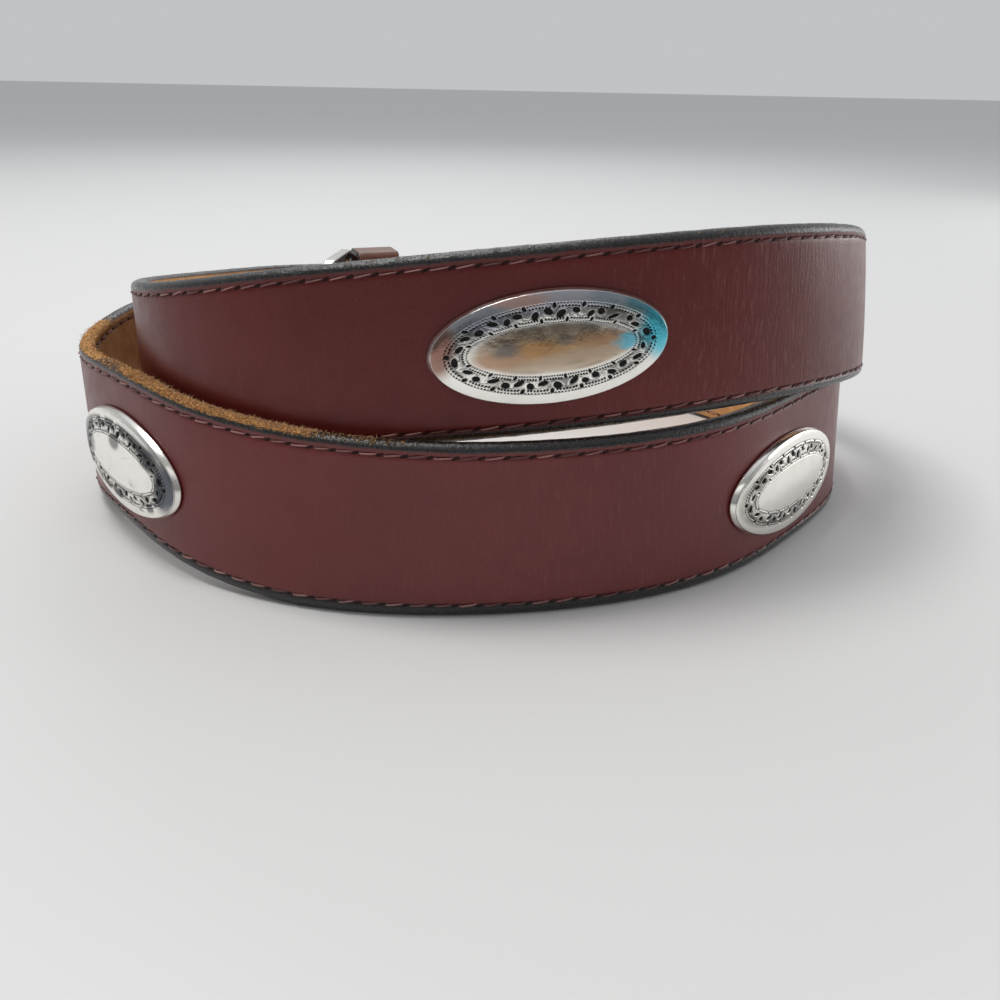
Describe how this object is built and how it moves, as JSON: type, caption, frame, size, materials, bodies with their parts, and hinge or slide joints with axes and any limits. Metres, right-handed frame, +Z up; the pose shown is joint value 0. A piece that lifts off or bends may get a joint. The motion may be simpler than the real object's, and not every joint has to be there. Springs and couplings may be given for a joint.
{
  "type": "studded leather belt",
  "caption": "Burgundy stitched leather belt with engraved oval metal conchos, a leather keeper and a plain buckle, standing on edge in a loose two-turn coil.",
  "frame": {"origin": "middle of the overall box at the level of the surface the belt stands on", "axes": "+X along the coil's width, +Y from the front of the coil to the back, where the buckle is, +Z up"},
  "size_m": [0.213, 0.196, 0.0775],
  "materials": {
    "face_leather": "smooth burgundy-brown, medium gloss, black burnished edges",
    "lining_leather": "matt tan",
    "keeper_leather": "orange-brown, medium gloss",
    "concho_metal": "polished silver tone with black in the engraving",
    "post_metal": "plain nickel tone",
    "buckle_metal": "polished silver tone"
  },
  "bodies": {
    "belt": {"strap_face": "face_leather", "strap_lining": "lining_leather", "concho_1": "concho_metal", "concho_2": "concho_metal", "concho_3": "concho_metal", "concho_4": "concho_metal", "concho_5": "concho_metal", "concho_6": "concho_metal", "concho_post_1": "post_metal", "concho_post_2": "post_metal", "concho_post_3": "post_metal", "concho_post_4": "post_metal", "concho_post_5": "post_metal", "concho_post_6": "post_metal", "keeper": "keeper_leather"},
    "frame": {"buckle_frame": "buckle_metal"},
    "prong": {"buckle_prong": "buckle_metal"}
  },
  "joints": [
    {"name": "frame_swing", "type": "hinge", "parent": "belt", "child": "frame", "pos_m": [-0.04812, 0.0588, 0.027], "axis": [0, 0, 1], "range_deg": [-20, 30]},
    {"name": "prong_lift", "type": "hinge", "parent": "frame", "child": "prong", "pos_m": [-0.04812, 0.0588, 0.027], "axis": [0, 0, 1], "range_deg": [-15, 0]}
  ]
}
